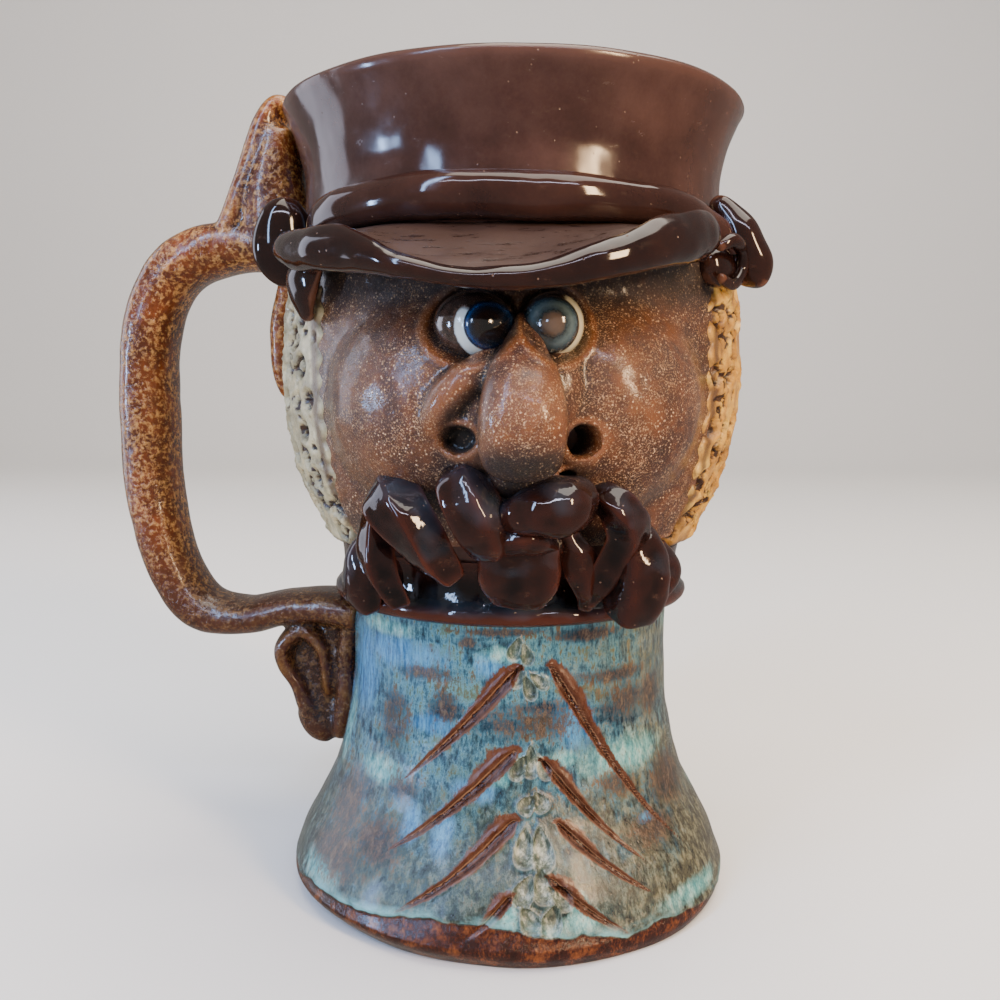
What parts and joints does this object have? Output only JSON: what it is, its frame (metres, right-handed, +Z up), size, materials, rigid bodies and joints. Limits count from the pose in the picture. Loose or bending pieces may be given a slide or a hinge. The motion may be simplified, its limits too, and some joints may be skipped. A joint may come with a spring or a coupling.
{
  "type": "face mug",
  "caption": "Glazed stoneware drinking mug shaped as a whiskered head in a peaked cap on a flared coat, with a pulled strap handle, thumb rest and scroll.",
  "frame": {"origin": "centre of the flat underside, on the pot's turning axis", "axes": "+Z up the pot's axis, -Y the way the face looks, +X to the right of someone facing it, so the handle stands at -X"},
  "size_m": [0.1347, 0.1138, 0.1662],
  "materials": {
    "glazed_stoneware": "glossy fired glaze over stoneware, dark brown above and mottled blue below"
  },
  "bodies": {
    "root": {"face_mug": "glazed_stoneware"}
  },
  "joints": []
}
